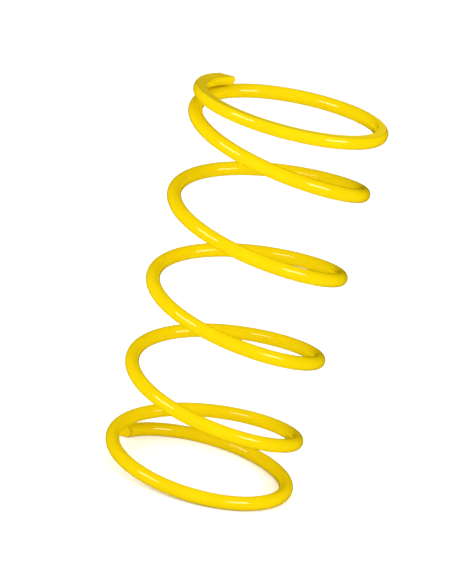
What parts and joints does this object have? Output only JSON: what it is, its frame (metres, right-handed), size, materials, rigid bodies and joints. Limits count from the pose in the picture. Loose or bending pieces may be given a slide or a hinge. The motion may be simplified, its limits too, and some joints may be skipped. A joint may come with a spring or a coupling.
{
  "type": "coil spring",
  "caption": "Yellow painted helical compression spring of round wire, open coils between two closed ends that are ground flat, for a car's suspension.",
  "frame": {"origin": "on the spring's axis, in the plane of the bottom ground face", "axes": "+Z along the spring's axis from the bottom seat to the top seat; both tips of the wire are towards -X and +Y, and the part is seen from -Y"},
  "size_m": [0.1537, 0.1558, 0.3064],
  "materials": {
    "painted_wire": "gloss yellow powder coat"
  },
  "bodies": {
    "bottom_end_coil": {"bottom_end_coil": "painted_wire"},
    "active_wire_01": {"active_wire_01": "painted_wire"},
    "active_wire_02": {"active_wire_02": "painted_wire"},
    "active_wire_03": {"active_wire_03": "painted_wire"},
    "active_wire_04": {"active_wire_04": "painted_wire"},
    "active_wire_05": {"active_wire_05": "painted_wire"},
    "active_wire_06": {"active_wire_06": "painted_wire"},
    "active_wire_07": {"active_wire_07": "painted_wire"},
    "active_wire_08": {"active_wire_08": "painted_wire"},
    "active_wire_09": {"active_wire_09": "painted_wire"},
    "active_wire_10": {"active_wire_10": "painted_wire"},
    "active_wire_11": {"active_wire_11": "painted_wire"},
    "active_wire_12": {"active_wire_12": "painted_wire"},
    "active_wire_13": {"active_wire_13": "painted_wire"},
    "active_wire_14": {"active_wire_14": "painted_wire"},
    "active_wire_15": {"active_wire_15": "painted_wire"},
    "active_wire_16": {"active_wire_16": "painted_wire"},
    "active_wire_17": {"active_wire_17": "painted_wire"},
    "active_wire_18": {"active_wire_18": "painted_wire"},
    "active_wire_19": {"active_wire_19": "painted_wire"},
    "active_wire_20": {"active_wire_20": "painted_wire"},
    "active_wire_21": {"active_wire_21": "painted_wire"},
    "active_wire_22": {"active_wire_22": "painted_wire"},
    "active_wire_23": {"active_wire_23": "painted_wire"},
    "active_wire_24": {"active_wire_24": "painted_wire"},
    "active_wire_25": {"active_wire_25": "painted_wire"},
    "active_wire_26": {"active_wire_26": "painted_wire"},
    "active_wire_27": {"active_wire_27": "painted_wire"},
    "active_wire_28": {"active_wire_28": "painted_wire"},
    "active_wire_29": {"active_wire_29": "painted_wire"},
    "active_wire_30": {"active_wire_30": "painted_wire"},
    "top_end_coil": {"top_end_coil": "painted_wire"}
  },
  "joints": [
    {"name": "compression", "type": "slide", "parent": "bottom_end_coil", "child": "top_end_coil", "axis": [0, 0, -1], "range_m": [0, 0.2], "stiffness_N_per_m": 12800},
    {"name": "active_wire_01_travel", "type": "slide", "parent": "bottom_end_coil", "child": "active_wire_01", "axis": [0, 0, -1], "range_m": [-0.001, 0.00433]},
    {"name": "active_wire_02_travel", "type": "slide", "parent": "bottom_end_coil", "child": "active_wire_02", "axis": [0, 0, -1], "range_m": [-0.001, 0.011]},
    {"name": "active_wire_03_travel", "type": "slide", "parent": "bottom_end_coil", "child": "active_wire_03", "axis": [0, 0, -1], "range_m": [-0.001, 0.01767]},
    {"name": "active_wire_04_travel", "type": "slide", "parent": "bottom_end_coil", "child": "active_wire_04", "axis": [0, 0, -1], "range_m": [-0.001, 0.02433]},
    {"name": "active_wire_05_travel", "type": "slide", "parent": "bottom_end_coil", "child": "active_wire_05", "axis": [0, 0, -1], "range_m": [-0.001, 0.031]},
    {"name": "active_wire_06_travel", "type": "slide", "parent": "bottom_end_coil", "child": "active_wire_06", "axis": [0, 0, -1], "range_m": [-0.001, 0.03767]},
    {"name": "active_wire_07_travel", "type": "slide", "parent": "bottom_end_coil", "child": "active_wire_07", "axis": [0, 0, -1], "range_m": [-0.001, 0.04433]},
    {"name": "active_wire_08_travel", "type": "slide", "parent": "bottom_end_coil", "child": "active_wire_08", "axis": [0, 0, -1], "range_m": [-0.001, 0.051]},
    {"name": "active_wire_09_travel", "type": "slide", "parent": "bottom_end_coil", "child": "active_wire_09", "axis": [0, 0, -1], "range_m": [-0.001, 0.05767]},
    {"name": "active_wire_10_travel", "type": "slide", "parent": "bottom_end_coil", "child": "active_wire_10", "axis": [0, 0, -1], "range_m": [-0.001, 0.06433]},
    {"name": "active_wire_11_travel", "type": "slide", "parent": "bottom_end_coil", "child": "active_wire_11", "axis": [0, 0, -1], "range_m": [-0.001, 0.071]},
    {"name": "active_wire_12_travel", "type": "slide", "parent": "bottom_end_coil", "child": "active_wire_12", "axis": [0, 0, -1], "range_m": [-0.001, 0.07767]},
    {"name": "active_wire_13_travel", "type": "slide", "parent": "bottom_end_coil", "child": "active_wire_13", "axis": [0, 0, -1], "range_m": [-0.001, 0.08433]},
    {"name": "active_wire_14_travel", "type": "slide", "parent": "bottom_end_coil", "child": "active_wire_14", "axis": [0, 0, -1], "range_m": [-0.001, 0.091]},
    {"name": "active_wire_15_travel", "type": "slide", "parent": "bottom_end_coil", "child": "active_wire_15", "axis": [0, 0, -1], "range_m": [-0.001, 0.09767]},
    {"name": "active_wire_16_travel", "type": "slide", "parent": "bottom_end_coil", "child": "active_wire_16", "axis": [0, 0, -1], "range_m": [-0.001, 0.10433]},
    {"name": "active_wire_17_travel", "type": "slide", "parent": "bottom_end_coil", "child": "active_wire_17", "axis": [0, 0, -1], "range_m": [-0.001, 0.111]},
    {"name": "active_wire_18_travel", "type": "slide", "parent": "bottom_end_coil", "child": "active_wire_18", "axis": [0, 0, -1], "range_m": [-0.001, 0.11767]},
    {"name": "active_wire_19_travel", "type": "slide", "parent": "bottom_end_coil", "child": "active_wire_19", "axis": [0, 0, -1], "range_m": [-0.001, 0.12433]},
    {"name": "active_wire_20_travel", "type": "slide", "parent": "bottom_end_coil", "child": "active_wire_20", "axis": [0, 0, -1], "range_m": [-0.001, 0.131]},
    {"name": "active_wire_21_travel", "type": "slide", "parent": "bottom_end_coil", "child": "active_wire_21", "axis": [0, 0, -1], "range_m": [-0.001, 0.13767]},
    {"name": "active_wire_22_travel", "type": "slide", "parent": "bottom_end_coil", "child": "active_wire_22", "axis": [0, 0, -1], "range_m": [-0.001, 0.14433]},
    {"name": "active_wire_23_travel", "type": "slide", "parent": "bottom_end_coil", "child": "active_wire_23", "axis": [0, 0, -1], "range_m": [-0.001, 0.151]},
    {"name": "active_wire_24_travel", "type": "slide", "parent": "bottom_end_coil", "child": "active_wire_24", "axis": [0, 0, -1], "range_m": [-0.001, 0.15767]},
    {"name": "active_wire_25_travel", "type": "slide", "parent": "bottom_end_coil", "child": "active_wire_25", "axis": [0, 0, -1], "range_m": [-0.001, 0.16433]},
    {"name": "active_wire_26_travel", "type": "slide", "parent": "bottom_end_coil", "child": "active_wire_26", "axis": [0, 0, -1], "range_m": [-0.001, 0.171]},
    {"name": "active_wire_27_travel", "type": "slide", "parent": "bottom_end_coil", "child": "active_wire_27", "axis": [0, 0, -1], "range_m": [-0.001, 0.17767]},
    {"name": "active_wire_28_travel", "type": "slide", "parent": "bottom_end_coil", "child": "active_wire_28", "axis": [0, 0, -1], "range_m": [-0.001, 0.18433]},
    {"name": "active_wire_29_travel", "type": "slide", "parent": "bottom_end_coil", "child": "active_wire_29", "axis": [0, 0, -1], "range_m": [-0.001, 0.191]},
    {"name": "active_wire_30_travel", "type": "slide", "parent": "bottom_end_coil", "child": "active_wire_30", "axis": [0, 0, -1], "range_m": [-0.001, 0.19767]}
  ],
  "couplings": [
    {"joint": "active_wire_01_travel", "follows": "compression", "ratio": 0.016667},
    {"joint": "active_wire_02_travel", "follows": "compression", "ratio": 0.05},
    {"joint": "active_wire_03_travel", "follows": "compression", "ratio": 0.083333},
    {"joint": "active_wire_04_travel", "follows": "compression", "ratio": 0.11667},
    {"joint": "active_wire_05_travel", "follows": "compression", "ratio": 0.15},
    {"joint": "active_wire_06_travel", "follows": "compression", "ratio": 0.18333},
    {"joint": "active_wire_07_travel", "follows": "compression", "ratio": 0.21667},
    {"joint": "active_wire_08_travel", "follows": "compression", "ratio": 0.25},
    {"joint": "active_wire_09_travel", "follows": "compression", "ratio": 0.28333},
    {"joint": "active_wire_10_travel", "follows": "compression", "ratio": 0.31667},
    {"joint": "active_wire_11_travel", "follows": "compression", "ratio": 0.35},
    {"joint": "active_wire_12_travel", "follows": "compression", "ratio": 0.38333},
    {"joint": "active_wire_13_travel", "follows": "compression", "ratio": 0.41667},
    {"joint": "active_wire_14_travel", "follows": "compression", "ratio": 0.45},
    {"joint": "active_wire_15_travel", "follows": "compression", "ratio": 0.48333},
    {"joint": "active_wire_16_travel", "follows": "compression", "ratio": 0.51667},
    {"joint": "active_wire_17_travel", "follows": "compression", "ratio": 0.55},
    {"joint": "active_wire_18_travel", "follows": "compression", "ratio": 0.58333},
    {"joint": "active_wire_19_travel", "follows": "compression", "ratio": 0.61667},
    {"joint": "active_wire_20_travel", "follows": "compression", "ratio": 0.65},
    {"joint": "active_wire_21_travel", "follows": "compression", "ratio": 0.68333},
    {"joint": "active_wire_22_travel", "follows": "compression", "ratio": 0.71667},
    {"joint": "active_wire_23_travel", "follows": "compression", "ratio": 0.75},
    {"joint": "active_wire_24_travel", "follows": "compression", "ratio": 0.78333},
    {"joint": "active_wire_25_travel", "follows": "compression", "ratio": 0.81667},
    {"joint": "active_wire_26_travel", "follows": "compression", "ratio": 0.85},
    {"joint": "active_wire_27_travel", "follows": "compression", "ratio": 0.88333},
    {"joint": "active_wire_28_travel", "follows": "compression", "ratio": 0.91667},
    {"joint": "active_wire_29_travel", "follows": "compression", "ratio": 0.95},
    {"joint": "active_wire_30_travel", "follows": "compression", "ratio": 0.98333}
  ]
}
